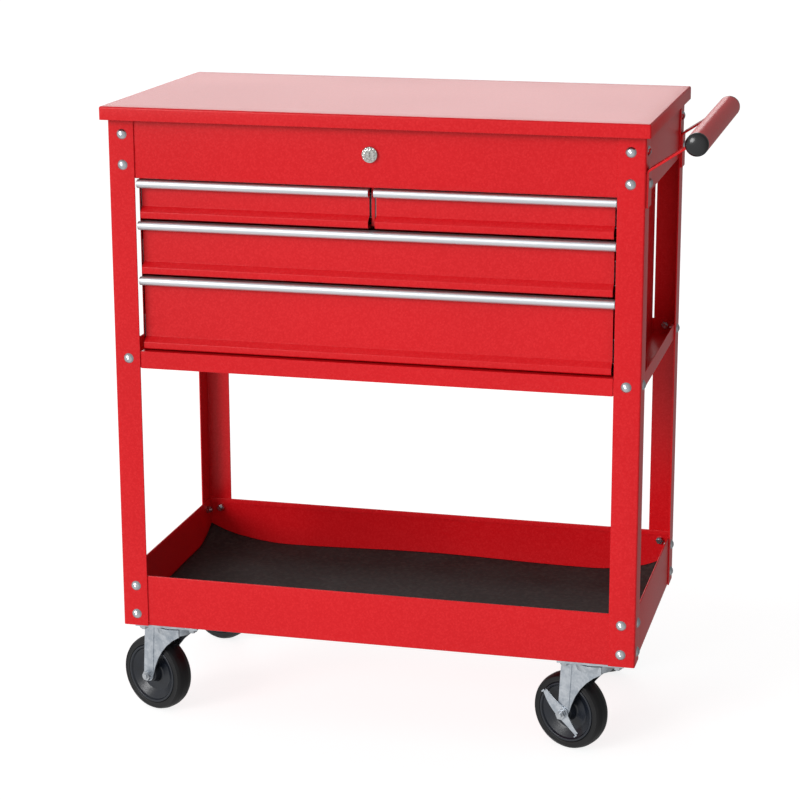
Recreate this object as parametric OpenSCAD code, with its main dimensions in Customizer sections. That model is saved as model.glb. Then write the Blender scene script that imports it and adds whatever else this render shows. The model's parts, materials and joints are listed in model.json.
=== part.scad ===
// Rolling tool chest: four angle-iron legs carry an upper compartment with a lift-up lid,
// a cabinet of four drawers, a middle tray and a deep bottom tray, on four swivel casters.
// Millimetres. +Z is up, the drawers open towards -Y, the push handle is on the +X side.
// The origin is on the floor, under the middle of the whole object's box.

/* [Overall] */
// Width across the outside of the legs
body_w = 762; // [620:1:920]
// Depth across the outside of the legs
body_d = 396; // [320:1:480]
// Height from the bottom tray's underside to the top of the lid
chest_h = 771; // [640:1:930]
// Height of a caster, from the floor to the bottom tray's underside
caster_h = 152.5; // [143:0.5:180]

/* [Sheet metal] */
// Thickness of the folded sheets
sheet = 1.2; // [0.8:0.1:2]
// Width of one flange of a leg angle
leg_w = 38; // [32:1:50]
// Thickness of a leg angle
leg_t = 2; // [1.5:0.1:3]
// Outside radius of a leg's bend
leg_bend = 3; // [2.5:0.5:5]

/* [Lid] */
// How far the lid stands out past the legs at each side
lid_side_over = 7.5; // [6.5:0.5:12]
// How far the lid stands out past the legs at the front and the back
lid_end_over = 13.5; // [12:0.5:20]
// Height of the lid's turned-down edge
lid_lip = 19; // [14:1:26]
// Gap between the closed lid and what it rests over
lid_gap = 0.5; // [0.4:0.1:1.5]

/* [Upper compartment] */
// Height from the compartment's underside to the top of the lid
upper_h = 102.5; // [90:0.5:130]
// Width of the compartment's inward rim
rim_w = 9; // [4:1:14]

/* [Drawers] */
// Height of the small drawers' fronts, with their pulls
row1_h = 56; // [50:1:70]
// Height of the middle drawer's front, with its pull
row2_h = 76; // [56:1:100]
// Height of the bottom drawer's front, with its pull
row3_h = 105.5; // [56:0.5:140]
// Gap above, between and below the drawer fronts
row_gap = 4; // [2.5:0.5:6]
// Gap between the two small drawers' pulls
pull_gap = 7.5; // [6.5:0.5:12]
// Height of a pull's rounded nose
pull_h = 12.5; // [10:0.5:16]
// How far a pull stands in front of the drawer's main face
pull_reach = 13; // [11:0.5:18]
// How far the bottom lip of a drawer front stands out
lip_out = 9; // [5:0.5:10]
// Height of the bottom lip of a drawer front
lip_h = 9.5; // [6:0.5:14]
// Height of the slope between the main face and the lip
slope_h = 7.5; // [5:0.5:12]

/* [Drawer slides] */
// Width that a slide takes between a drawer and its wall
slide_w = 12.7; // [12:0.1:15]
// Height of a slide's outer channel
slide_h = 35; // [32:1:38]
// Thickness of a slide's steel
slide_t = 1.2; // [1:0.1:1.5]
// Gap between the channels of a slide, where its balls run
slide_race = 2.4; // [2:0.1:2.8]

/* [Trays] */
// Height of the middle tray
middle_h = 24; // [20:1:40]
// Height of the bottom tray
bottom_h = 77.5; // [60:0.5:100]
// Thickness of the rubber mat
mat_t = 3; // [2:0.5:5]
// Gap between the mat and the bottom tray's walls
mat_gap = 6; // [3:1:20]

/* [Fasteners] */
// Radius of a frame bolt's shank
bolt_r = 3; // [2.5:0.25:3.5]
// Radius of a frame bolt's domed head
head_r = 7.5; // [6:0.5:8]
// Height of a frame bolt's domed head
head_h = 4; // [3:0.5:4.5]
// Clearance round a bolt in its hole
bolt_clear = 0.3; // [0.2:0.1:0.6]
// Distance from a leg's outside corner to its bolts
bolt_inset = 20.5; // [19:0.5:24]

/* [Handle] */
// Radius of the handle tube
tube_r = 16; // [12:0.5:20]
// Wall of the handle tube
tube_wall = 1.5; // [1.2:0.1:3]
// Distance from the leg's side face to the tube's axis
tube_reach = 66.5; // [60:0.5:90]
// Depth of the tube's axis below the top of the lid
tube_drop = 27; // [16:1:34]
// Distance from the lid's front or back edge to the end of the handle
tube_inset = 8; // [0:1:9]
// Length of a rounded end cap outside the tube
cap_out = 12; // [8:1:14]
// Width of a handle bracket's strap
strap_w = 30; // [24:1:34]
// Thickness of a handle bracket's strap
strap_t = 3; // [2:0.5:4]

/* [Lock] */
// Radius of the lock's face
lock_face_r = 11; // [10:0.5:13]
// How far the lock's face stands out
lock_out = 6; // [4:0.5:8]
// Length of the cam, from the lock's axis
cam_len = 26; // [20:1:28]

/* [Casters] */
// Radius of a wheel with its tyre
wheel_r = 57.5; // [45:0.5:58]
// Width of a tyre
wheel_w = 31; // [26:1:36]
// Radius at which the tyre meets the hub
hub_r = 45; // [36:0.5:46]
// Distance from a caster's swivel axis to its axle
trail = 39; // [30:1:42]
// Turn of the casters as they stand
caster_yaw = 157; // [0:1:359]
// Distance from the side of the legs to a caster's swivel axis
caster_inset_x = 64; // [60:1:90]
// Distance from the front or back of the legs to a caster's swivel axis
caster_inset_y = 46; // [44:1:70]
// Radius of an axle
axle_r = 4; // [3.5:0.5:5]

/* [Fits] */
// Radial clearance of a pin or shaft in its bore
run_fit = 0.05; // [0.02:0.01:0.1]
// Gap between pieces that move past each other
move_gap = 0.5; // [0.4:0.1:1]

/* [Hidden] */
DRAWERS = ["small_left", "small_right", "middle", "bottom"];
SIDES = ["front_left", "front_right", "rear_left", "rear_right"];

$fn = 48;
e = 0.01;                                   // overshoot of a cutting tool

red = "#cc1419";
zinc = "#c3c8cc";
alu = "#d5d8db";
steel = "#b8bcc0";
black = "#1c1c1f";
grey = "#33373d";

// Levels
tray_z = caster_h;                          // underside of the bottom tray, end of the legs
lid_z = caster_h + chest_h;                 // top of the lid
rim_z = lid_z - sheet - lid_gap;            // top of the legs and of the upper compartment
upper_z = lid_z - upper_h;                  // underside of the upper compartment
row1_z = upper_z - row_gap / 2 - row1_h;    // lower edge of each row of drawers
row2_z = row1_z - row_gap - row2_h;
row3_z = row2_z - row_gap - row3_h;
middle_z = row3_z - row_gap - middle_h;     // underside of the middle tray

// Plan
half_w = body_w / 2;
half_d = body_d / 2;
lid_half_w = half_w + lid_side_over;
lid_half_d = half_d + lid_end_over;
tube_x = half_w + tube_reach;
tread_crown = wheel_w * 1.1;                // radius of the tread's crown
wheel_side = (wheel_r - tread_crown) * abs(cos(caster_yaw)) + tread_crown;   // half a turned wheel, along X
wheel_left = half_w - caster_inset_x - trail * cos(caster_yaw) + wheel_side;
chest_x = (max(lid_half_w, wheel_left) - tube_x - tube_r) / 2;   // puts the origin in the middle of the box
in_w = half_w - leg_t;                      // outside of the trays, inside of the legs
in_d = half_d - leg_t;
shell_half = half_w - leg_w - 1;            // outside of the cabinet shell's walls
wall_x = shell_half - sheet;                // inside of the cabinet shell's walls
front_y = -in_d;                            // front of the pulls, the compartment and the rail
face_y = front_y + pull_reach;              // front of a drawer's main face
shell_front = face_y - 1;                   // front edge of the cabinet shell's walls
shell_back = in_d - sheet - 8;              // back of the cabinet shell
divider_half = 2.5;                         // half the width of the centre divider

// Bolts: levels on every flange of every leg
flange_bolts = [lid_z - 40, lid_z - 83.5, middle_z + middle_h / 2 + 2, tray_z + bottom_h - 16, tray_z + 18];
bracket_bolt = 1;                           // which level also holds a handle bracket
nut_af = 10;                                // nut width across its flats
nut_h = 5;
nut_r = nut_af / 2 / cos(30);
bolt_tail = 3;                              // thread that shows past a nut

// Hinge
hinge_len = 2 * shell_half - 20;
hinge_knuckles = 9;
hinge_knuckle_r = 3.5;
hinge_pin_r = 1.5;
hinge_leaf_t = 1.2;
hinge_leaf_h = 26;
hinge_y = lid_half_d - sheet - hinge_knuckle_r;
hinge_z = lid_z - lid_lip - hinge_knuckle_r - move_gap;
knuckle_pitch = hinge_len / hinge_knuckles;

// Slides
slide_len = in_d * 2 - 42;
slide_y0 = face_y + sheet + 4;
slide_bottom = 13;                          // from a row's lower edge to the underside of its slides
box_floor = 6;                              // from a row's lower edge to the underside of a drawer's floor
box_len = slide_len;
box_rise = 8;                               // from a drawer box's top edge to the top of its row
slide_step = 1.2;                           // between the webs of neighbouring members
slide_open = 3;                             // from the outer member's edge to the drawer
slide_mid_h = slide_h - 2 * (slide_t + slide_race);
slide_in_h = slide_mid_h - 2 * (slide_t + slide_race);
front_gap = 2.3;                            // from a drawer front's end to the wall beside it
front_return = 24;                          // depth of the fold under a drawer front
pull_t = 2;                                 // wall of a pull
pull_hook = 4;                              // depth of the pull's hook behind the drawer front

// Lock
lock_z = lid_z - 56;
lock_body_r = 9;
lock_plug_r = 6;
lock_len = 22;
cam_t = 2;
cam_w = 8;
cam_y = front_y + sheet + lock_len + move_gap;
cam_boss = 2;
catch_t = 1.5;
catch_w = 12;
catch_foot = 14;                            // length of the catch's foot
catch_x = cam_len + 4;

// Handle
tube_z = lid_z - tube_drop;
tube_half = lid_half_d - cap_out - tube_inset;
cap_plug = 16;
strap_top = lid_z - 66;
strap_foot = lid_z - 116;
strap_lift = 4;                             // a strap meets the tube this far above its axis
strap_y = half_d - bolt_inset;

// Casters
caster_head_h = 2;                          // height of a caster bolt's low head
plate_t = 3;
plate_w = 96;
plate_d = 84;
plate_bolt_x = 38;
plate_bolt_y = 32;
caster_bolt_r = 3.5;
caster_tail = 2;                            // thread that shows past a caster bolt's nut
race_h = 7;                                 // tall enough for a bolt's tail to clear the turning fork
race_r = 27;
crown_z = tray_z - plate_t - race_h - move_gap;      // top of a fork's crown
crown_r = 29;
crown_h = 11;
fork_t = 2.5;
fork_rib = 0.9;                             // how far the strip of a fork's arm stands out from its web
fork_in = wheel_w / 2 + 2.5;                // inside of a fork's arms
fork_out = fork_in + fork_t;
fork_face = fork_out + fork_rib;            // outside of a fork's arms
foot_r = 9;                                 // radius of an arm's end round the axle
arm_lean = 5;                               // how far an arm's strip leans towards the crown
king_r = 6;
king_washer_r = 10;
king_washer_h = 5;
boss_half = fork_in - move_gap;
axle_nut_h = 6;
axle_nut_r = 7.5;
lever_t = 2;
lever_up = 44;
lever_down = 38;
lever_tilt = 45;
lever_pad = 7;

// Moves what is drawn about the chest's middle to its place in the object's box.
module at_chest() translate([chest_x, 0, 0]) children();

// A sheet-metal box, open at the top, about the Z axis.
module open_box(half_x, half_y, z0, z1, t) {
    difference() {
        translate([-half_x, -half_y, z0]) cube([2 * half_x, 2 * half_y, z1 - z0]);
        translate([t - half_x, t - half_y, z0 + t]) cube([2 * (half_x - t), 2 * (half_y - t), z1 - z0]);
    }
}

// Puts its children at a point, with their +Z turned out along +X, -X, +Y or -Y.
module facing_x(p, sign) translate(p) rotate([0, 90 * sign, 0]) children();
module facing_y(p, sign) translate(p) rotate([-90 * sign, 0, 0]) children();

// Every frame bolt: its children stand on the outside face of a leg flange, +Z pointing out.
// extra is the thickness of a handle bracket under the head.
module each_frame_bolt() {
    for (sx = [-1, 1], sy = [-1, 1], i = [0 : len(flange_bolts) - 1]) {
        $extra = 0;
        facing_y([sx * (half_w - bolt_inset), sy * half_d, flange_bolts[i]], sy) children();
    }
    for (sx = [-1, 1], sy = [-1, 1], i = [0 : len(flange_bolts) - 1]) {
        $extra = sx > 0 && i == bracket_bolt ? strap_t : 0;
        facing_x([sx * half_w, sy * (half_d - bolt_inset), flange_bolts[i]], sx) children();
    }
}

// Clearance holes for the frame bolts through everything near the legs' faces.
module frame_bolt_holes() {
    each_frame_bolt()
        translate([0, 0, -leg_t - sheet - 1])
            cylinder(r = bolt_r + bolt_clear, h = leg_t + sheet + strap_t + 2);
}

// A shallow dome: the part of a ball that rises h above a circle of radius r.
module dome(r, h) {
    ball = (r * r + h * h) / (2 * h);
    intersection() {
        translate([0, 0, h - ball]) sphere(r = ball);
        cylinder(r = r + 1, h = h + 1);
    }
}

module hex_nut(r, h, bore) {
    difference() {
        cylinder(r = r, h = h, $fn = 6);
        translate([0, 0, -1]) cylinder(r = bore, h = h + 2);
    }
}

// ---- Frame ----

// A leg angle, drawn for the front left corner.
module leg_angle() {
    translate([0, 0, tray_z]) linear_extrude(rim_z - tray_z) difference() {
        union() {
            translate([leg_bend, 0]) square([leg_w - leg_bend, leg_t]);
            translate([0, leg_bend]) square([leg_t, leg_w - leg_bend]);
            intersection() {
                square(leg_bend);
                translate([leg_bend, leg_bend]) circle(r = leg_bend);
            }
        }
        translate([leg_t, leg_t]) square(leg_w);
    }
}

// Mirrors a piece drawn for the front left to the corner with signs sx and sy.
module to_corner(sx, sy)
    mirror([sx > 0 ? 1 : 0, 0, 0]) mirror([0, sy > 0 ? 1 : 0, 0]) children();

module leg(sx, sy) {
    color(red) at_chest() difference() {
        to_corner(sx, sy) translate([-half_w, -half_d, 0]) leg_angle();
        frame_bolt_holes();
    }
}

module upper_compartment() {
    color(red) at_chest() difference() {
        union() {
            open_box(in_w, in_d, upper_z, rim_z, sheet);
            difference() {
                translate([-in_w, -in_d, rim_z - sheet]) cube([2 * in_w, 2 * in_d, sheet]);
                translate([rim_w - in_w, rim_w - in_d, rim_z - 2 * sheet])
                    cube([2 * (in_w - rim_w), 2 * (in_d - rim_w), 3 * sheet]);
            }
        }
        frame_bolt_holes();
        facing_y([0, front_y + sheet + 1, lock_z], -1) cylinder(r = lock_body_r + run_fit, h = sheet + 2);
    }
}

// The cabinet shell: two side walls and a back, flanges above and below, and the front rail.
module cabinet_shell() {
    flange = 12;
    lap = 6;                                // overlap of the rail and of the flanges with the walls
    z0 = middle_z + sheet;
    depth = shell_back - shell_front;
    rail_top = middle_z + middle_h;
    color(red) at_chest() {
        for (s = [-1, 1]) {
            translate([s > 0 ? wall_x : -shell_half, shell_front, z0]) cube([sheet, depth, upper_z - z0]);
            for (z = [z0, upper_z - sheet])
                translate([s > 0 ? wall_x - flange : -shell_half, shell_front + lap, z])
                    cube([flange + sheet, depth - lap, sheet]);
        }
        translate([-shell_half, shell_back - sheet, z0]) cube([2 * shell_half, sheet, upper_z - z0]);
        translate([-shell_half, front_y - sheet, middle_z]) cube([2 * shell_half, sheet, middle_h + sheet]);
        translate([-shell_half, front_y - sheet, rail_top])
            cube([2 * shell_half, shell_front + lap - front_y + sheet, sheet]);
    }
}

// A folded channel that hangs from the upper compartment between the small drawers.
module centre_divider() {
    flange = 10;
    z0 = row1_z + 2;
    y0 = face_y + 2;
    length = shell_back - sheet - y0;
    color(red) at_chest() {
        for (s = [-1, 1]) {
            translate([s > 0 ? divider_half - sheet : -divider_half, y0, z0])
                cube([sheet, length, upper_z - z0]);
            translate([s > 0 ? divider_half - sheet : -divider_half - flange, y0, upper_z - sheet])
                cube([flange + sheet, length, sheet]);
        }
        translate([-divider_half, y0, z0]) cube([2 * divider_half, length, sheet]);
        translate([-divider_half, y0, z0]) cube([2 * divider_half, sheet, upper_z - z0]);
    }
}

module middle_tray() {
    color(red) at_chest() difference() {
        open_box(in_w, in_d, middle_z, middle_z + middle_h, sheet);
        frame_bolt_holes();
    }
}

// Places its children at each caster's swivel axis, at the floor.
module each_caster(sides = [[-1, -1], [1, -1], [-1, 1], [1, 1]])
    for (s = sides)
        translate([s[0] * (half_w - caster_inset_x), s[1] * (half_d - caster_inset_y), 0]) children();

module each_plate_bolt()
    each_caster()
        for (x = [-plate_bolt_x, plate_bolt_x], y = [-plate_bolt_y, plate_bolt_y])
            translate([x, y, 0]) children();

module bottom_tray() {
    color(red) at_chest() difference() {
        open_box(in_w, in_d, tray_z, tray_z + bottom_h, sheet);
        frame_bolt_holes();
        each_plate_bolt() translate([0, 0, tray_z - 1])
            cylinder(r = caster_bolt_r + bolt_clear, h = sheet + 2);
    }
}

module tray_mat() {
    z0 = tray_z + sheet + caster_head_h + 0.1;
    color(black) at_chest()
        translate([sheet + mat_gap - in_w, sheet + mat_gap - in_d, z0])
            cube([2 * (in_w - sheet - mat_gap), 2 * (in_d - sheet - mat_gap), mat_t]);
}

module frame_bolts() {
    grip = leg_t + sheet + nut_h + bolt_tail;
    color(steel) at_chest() each_frame_bolt() translate([0, 0, $extra]) {
        dome(head_r, head_h);
        translate([0, 0, -grip - $extra]) cylinder(r = bolt_r, h = grip + $extra + e);
    }
}

module frame_nuts() {
    color(steel) at_chest() {
        each_frame_bolt() translate([0, 0, -leg_t - sheet - nut_h]) hex_nut(nut_r, nut_h, bolt_r);
        each_plate_bolt() translate([0, 0, tray_z - plate_t - nut_h])
            hex_nut(nut_r + 1, nut_h, caster_bolt_r);
    }
}

module caster_bolts() {
    color(zinc) at_chest() each_plate_bolt() {
        translate([0, 0, tray_z + sheet]) dome(head_r - 0.5, caster_head_h);
        translate([0, 0, tray_z - plate_t - nut_h - caster_tail])
            cylinder(r = caster_bolt_r, h = caster_tail + nut_h + plate_t + sheet + e);
    }
}

// ---- Handle ----

module handle_tube() {
    color(red) at_chest() translate([tube_x, tube_half, tube_z]) rotate([90, 0, 0]) difference() {
        cylinder(r = tube_r, h = 2 * tube_half);
        translate([0, 0, -1]) cylinder(r = tube_r - tube_wall, h = 2 * tube_half + 2);
    }
}

module handle_end_caps() {
    edge = cap_out / 3;
    color(black) at_chest() for (s = [-1, 1]) facing_y([tube_x, s * tube_half, tube_z], s) {
        cylinder(r = tube_r, h = edge);
        translate([0, 0, edge - e]) dome(tube_r, cap_out - edge + e);
        translate([0, 0, -cap_plug]) cylinder(r = tube_r - tube_wall, h = cap_plug + e);
    }
}

// A strap bent out and up from the leg's side to the tube, with its foot bolted to the leg.
module handle_brackets() {
    aim = [tube_x - half_w, tube_z + strap_lift - strap_top];
    rise = atan2(aim[1], aim[0]);
    reach = norm(aim) - tube_r / 2;
    along = [cos(rise), sin(rise)];
    side = [-sin(rise), cos(rise)] * strap_t / 2;
    bend = [half_w + strap_t / 2, strap_top];
    fold = strap_t / 2 * cos(rise) / (1 + sin(rise));
    outline = [[half_w, strap_foot], [half_w, strap_top + fold], bend + reach * along + side,
        bend + reach * along - side, [half_w + strap_t, strap_top - fold], [half_w + strap_t, strap_foot]];
    color(red) at_chest() for (s = [-1, 1]) translate([0, s * strap_y, 0]) difference() {
        translate([0, strap_w / 2, 0]) rotate([90, 0, 0]) linear_extrude(strap_w) polygon(outline);
        translate([tube_x, -strap_w, tube_z]) rotate([-90, 0, 0]) cylinder(r = tube_r, h = 2 * strap_w);
        translate([half_w - 1, 0, flange_bolts[bracket_bolt]]) rotate([0, 90, 0])
            cylinder(r = bolt_r + bolt_clear, h = strap_t + 2);
    }
}

// ---- Lid and its hinge ----

module lid_panel() {
    color(red) at_chest() difference() {
        translate([-lid_half_w, -lid_half_d, lid_z - lid_lip])
            cube([2 * lid_half_w, 2 * lid_half_d, lid_lip]);
        translate([sheet - lid_half_w, sheet - lid_half_d, lid_z - lid_lip - 1])
            cube([2 * (lid_half_w - sheet), 2 * (lid_half_d - sheet), lid_lip - sheet + 1]);
    }
}

// The knuckles of one leaf: every second one, from number `first`.
module hinge_knuckles(first, bore) {
    for (i = [first : 2 : hinge_knuckles - 1])
        translate([i * knuckle_pitch - hinge_len / 2 + move_gap / 2, hinge_y, hinge_z]) rotate([0, 90, 0])
            difference() {
                cylinder(r = hinge_knuckle_r, h = knuckle_pitch - move_gap);
                translate([0, 0, -1]) cylinder(r = bore, h = knuckle_pitch + 2);
            }
}

// The slots that one leaf leaves for the other leaf's knuckles.
module hinge_slots(first) {
    gap = hinge_knuckle_r + move_gap;
    for (i = [first : 2 : hinge_knuckles - 1])
        translate([i * knuckle_pitch - hinge_len / 2 - move_gap / 2, hinge_y - gap, hinge_z - gap])
            cube([knuckle_pitch + move_gap, 2 * gap, 2 * gap]);
}

module hinge_leaf_fixed() {
    color(steel) at_chest() {
        difference() {
            union() {
                translate([-hinge_len / 2, in_d, hinge_z - hinge_leaf_h])
                    cube([hinge_len, hinge_leaf_t, hinge_leaf_h]);
                translate([-hinge_len / 2, in_d, hinge_z - hinge_knuckle_r])
                    cube([hinge_len, hinge_y - in_d, hinge_leaf_t]);
            }
            hinge_slots(1);
        }
        hinge_knuckles(0, hinge_pin_r);
    }
}

module hinge_leaf_lid() {
    lip_y = lid_half_d - sheet;
    color(steel) at_chest() {
        difference() {
            translate([-hinge_len / 2, lip_y - hinge_leaf_t, hinge_z])
                cube([hinge_len, hinge_leaf_t, lid_z - sheet - 1 - hinge_z]);
            hinge_slots(0);
        }
        hinge_knuckles(1, hinge_pin_r + run_fit);
    }
}

module hinge_pin() {
    color(steel) at_chest() translate([-hinge_len / 2, hinge_y, hinge_z]) rotate([0, 90, 0])
        cylinder(r = hinge_pin_r, h = hinge_len);
}

// A strap under the lid whose foot the lock's cam turns over.
module lid_catch() {
    foot_z = lock_z - cam_w / 2 - move_gap - catch_t;
    y0 = cam_y + (cam_t - catch_w) / 2;
    color(zinc) at_chest() {
        translate([catch_x, y0, foot_z]) cube([catch_t, catch_w, lid_z - sheet - foot_z]);
        translate([catch_x - catch_foot, y0, foot_z]) cube([catch_foot + catch_t, catch_w, catch_t]);
        translate([catch_x, y0, lid_z - sheet - catch_t]) cube([20, catch_w, catch_t]);
    }
}

// ---- Lock ----

module lock_housing() {
    nut = 3;
    rim = 2;
    color(steel) at_chest() facing_y([0, front_y, lock_z], -1) difference() {
        union() {
            cylinder(r = lock_face_r, h = lock_out - rim);
            translate([0, 0, lock_out - rim - e])
                cylinder(r1 = lock_face_r, r2 = lock_face_r - rim, h = rim + e);
            translate([0, 0, -sheet - lock_len]) cylinder(r = lock_body_r, h = sheet + lock_len + e);
            translate([0, 0, -sheet - nut]) cylinder(r = lock_body_r + 4, h = nut, $fn = 6);
        }
        translate([0, 0, -sheet - lock_len - 1])
            cylinder(r = lock_plug_r + run_fit, h = sheet + lock_len + lock_out + 2);
    }
}

module lock_plug() {
    key_w = 1.6;
    key_h = 7;
    color(steel) at_chest() facing_y([0, front_y, lock_z], -1) difference() {
        translate([0, 0, -sheet - lock_len]) cylinder(r = lock_plug_r, h = sheet + lock_len + lock_out - 1);
        translate([-key_w / 2, -key_h / 2, lock_out - 6]) cube([key_w, key_h, 6]);
    }
}

module lock_cam() {
    color(zinc) at_chest() translate([0, cam_y - move_gap, lock_z]) rotate([-90, 0, 0]) {
        cylinder(r = cam_w / 2 + cam_boss, h = cam_t + move_gap);
        translate([-cam_w / 2, -cam_len, move_gap]) cube([cam_w, cam_len, cam_t]);
        translate([0, 0, cam_t + move_gap - e]) cylinder(r = cam_w / 2, h = cam_boss + e, $fn = 6);
    }
}

// ---- Drawers ----

// The left and right sides, lower edge and height of each drawer's opening.
function drawer_left(d) = d == "small_right" ? divider_half : -wall_x;
function drawer_right(d) = d == "small_left" ? -divider_half : wall_x;
function drawer_z(d) = d == "middle" ? row2_z : d == "bottom" ? row3_z : row1_z;
function drawer_h(d) = d == "middle" ? row2_h : d == "bottom" ? row3_h : row1_h;
function pull_left(d) = d == "small_right" ? pull_gap / 2 : -shell_half;
function pull_right(d) = d == "small_left" ? -pull_gap / 2 : shell_half;

// The folded profile of a drawer front, in the plane of Y and Z, from its lower edge at z = 0.
module front_profile(h) {
    t = sheet;
    slope_top = lip_h + slope_h;
    polygon([[0, h], [0, slope_top], [-lip_out, lip_h], [-lip_out, 0], [front_return, 0], [front_return, t],
        [t - lip_out, t], [t - lip_out, lip_h - t / 3], [t, slope_top - t / 3], [t, h]]);
}

module drawer_box(d) {
    x0 = drawer_left(d) + slide_w;
    x1 = drawer_right(d) - slide_w;
    f0 = drawer_left(d) + front_gap;
    f1 = drawer_right(d) - front_gap;
    z0 = drawer_z(d);
    top = drawer_h(d) - pull_t;
    y0 = face_y + sheet - e;
    box_z = z0 + box_floor;
    box_h = drawer_h(d) - box_floor - box_rise;
    color(red) at_chest() {
        translate([f0, face_y, z0]) rotate([90, 0, 90]) linear_extrude(f1 - f0) front_profile(top);
        difference() {
            translate([x0, y0, box_z]) cube([x1 - x0, slide_y0 + box_len - y0, box_h]);
            translate([x0 + sheet, y0 - 1, box_z + sheet])
                cube([x1 - x0 - 2 * sheet, slide_y0 + box_len - y0 - sheet + 1, box_h]);
        }
        // The webs that join the folded front to the box.
        for (x = [x0, x1 - sheet])
            translate([x, y0, z0]) cube([sheet, front_return - sheet, box_floor + sheet]);
    }
}

// The aluminium pull: a rounded hollow nose with a flange over the drawer front's top edge.
module pull_profile() {
    r = pull_h / 2;
    difference() {
        union() {
            translate([r, r]) circle(r = r);
            translate([r, pull_h - pull_t]) square([pull_reach + sheet + pull_t - r, pull_t]);
        }
        translate([r, r]) circle(r = r - pull_t);
        translate([r, -1]) square([r + 1, pull_h - pull_t + 1]);
    }
    translate([r - e, 0]) square([pull_t, pull_t]);
    translate([pull_reach + sheet, pull_h - pull_t - pull_hook]) square([pull_t, pull_hook + e]);
}

// Its flange is cut short at each end, so that it passes the cabinet's walls.
module drawer_pull(d) {
    x0 = pull_left(d);
    x1 = pull_right(d);
    z0 = drawer_z(d) + drawer_h(d) - pull_h;
    color(alu) at_chest() difference() {
        translate([x0, front_y, z0]) rotate([90, 0, 90]) linear_extrude(x1 - x0) pull_profile();
        for (x = [drawer_left(d) + front_gap - pull_h, drawer_right(d) - front_gap])
            translate([x, shell_front - move_gap, z0 - 1]) cube([pull_h, 2 * pull_reach, pull_h + 2]);
    }
}

// One slide member beside the wall at x = 0: a channel from x0 to x1, with its web at x0 or at x1.
module channel(x0, x1, h, web_first) {
    z0 = (slide_h - h) / 2;
    difference() {
        translate([x0, slide_y0, z0]) cube([x1 - x0, slide_len, h]);
        translate([web_first ? x0 + slide_t : x0 - 1, slide_y0 - 1, z0 + slide_t])
            cube([x1 - x0 - slide_t + 1, slide_len + 2, h - 2 * slide_t]);
    }
}

// Draws a slide member on both sides of a drawer.
module both_slides(d) {
    z = drawer_z(d) + slide_bottom;
    translate([drawer_left(d), 0, z]) children();
    translate([drawer_right(d), 0, z]) mirror([1, 0, 0]) children();
}

module slide_channels() {
    color(zinc) at_chest() for (d = DRAWERS)
        both_slides(d) channel(0, slide_w - slide_open, slide_h, true);
}

module drawer_slide_middle(d)
    color(zinc) at_chest() both_slides(d)
        channel(slide_t + slide_step, slide_w - slide_t - slide_step, slide_mid_h, true);

module drawer_slide_inner(d)
    color(zinc) at_chest() both_slides(d)
        channel(2 * (slide_t + slide_step), slide_w, slide_in_h, false);

// ---- Casters, drawn with the swivel axis on Z and the axle along Y at x = trail ----

function side_signs(s) = s == "front_left" ? [-1, -1] : s == "front_right" ? [1, -1]
    : s == "rear_left" ? [-1, 1] : [1, 1];

module at_caster(s) at_chest() each_caster([side_signs(s)]) rotate([0, 0, caster_yaw]) children();

module caster_plates() {
    washer_z = crown_z - fork_t - move_gap - king_washer_h;
    color(zinc) at_chest() each_caster() difference() {
        union() {
            translate([-plate_w / 2, -plate_d / 2, tray_z - plate_t]) cube([plate_w, plate_d, plate_t]);
            translate([0, 0, crown_z + move_gap]) cylinder(r = race_r, h = race_h + e);
            translate([0, 0, washer_z]) cylinder(r = king_r, h = crown_z + race_h - washer_z);
            translate([0, 0, washer_z]) cylinder(r = king_washer_r, h = king_washer_h);
        }
        for (x = [-plate_bolt_x, plate_bolt_x], y = [-plate_bolt_y, plate_bolt_y])
            translate([x, y, tray_z - plate_t - 1]) cylinder(r = caster_bolt_r + bolt_clear, h = plate_t + 2);
    }
}

// The straight strip of a fork's arm, from the crown down to the axle, in the plane of X and Z.
module arm_strip() {
    translate([trail, wheel_r]) circle(r = foot_r);
    polygon([[trail - foot_r, wheel_r], [trail + foot_r, wheel_r], [trail + foot_r - arm_lean, crown_z],
        [trail - foot_r - arm_lean, crown_z]]);
}

// Points on the parabola from p to q that is pulled towards c.
function bow(p, c, q) = [for (i = [0:6], t = i / 6) pow(1 - t, 2) * p + 2 * t * (1 - t) * c + t * t * q];

// The whole arm: the strip, and a web that narrows down from the crown in a hollow curve.
module arm_outline() {
    back = crown_r - 5;
    low = crown_z - crown_h;
    waist = [trail / 2, (wheel_r + 2 * low) / 3];
    arm_strip();
    polygon(concat([[trail, crown_z], [-back, crown_z]], bow([-back, low], waist, [trail - foot_r, wheel_r])));
}

module caster_fork(s) {
    color(zinc) at_caster(s) difference() {
        union() {
            translate([0, 0, crown_z - fork_t]) cylinder(r = crown_r, h = fork_t);
            translate([0, -fork_out, crown_z - fork_t])
                cube([trail + foot_r - arm_lean, 2 * fork_out, fork_t]);
            difference() {
                translate([0, 0, crown_z - crown_h])
                    cylinder(r1 = crown_r - fork_t, r2 = crown_r, h = crown_h);
                translate([0, 0, crown_z - crown_h - 1])
                    cylinder(r = crown_r - 2 * fork_t, h = crown_h - fork_t + 1);
            }
            for (side = [-1, 1]) {
                translate([0, side > 0 ? fork_out : -fork_in, 0]) rotate([90, 0, 0])
                    linear_extrude(fork_t) arm_outline();
                translate([0, side > 0 ? fork_face : e - fork_out, 0]) rotate([90, 0, 0])
                    linear_extrude(fork_rib + e) arm_strip();
            }
        }
        translate([0, 0, crown_z - crown_h]) cylinder(r = king_r + run_fit, h = crown_h + 1);
        translate([trail, -fork_face - 1, wheel_r]) rotate([-90, 0, 0])
            cylinder(r = axle_r + run_fit, h = 2 * fork_face + 2);
    }
}

function braked(s) = side_signs(s)[0] > 0;

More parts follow.
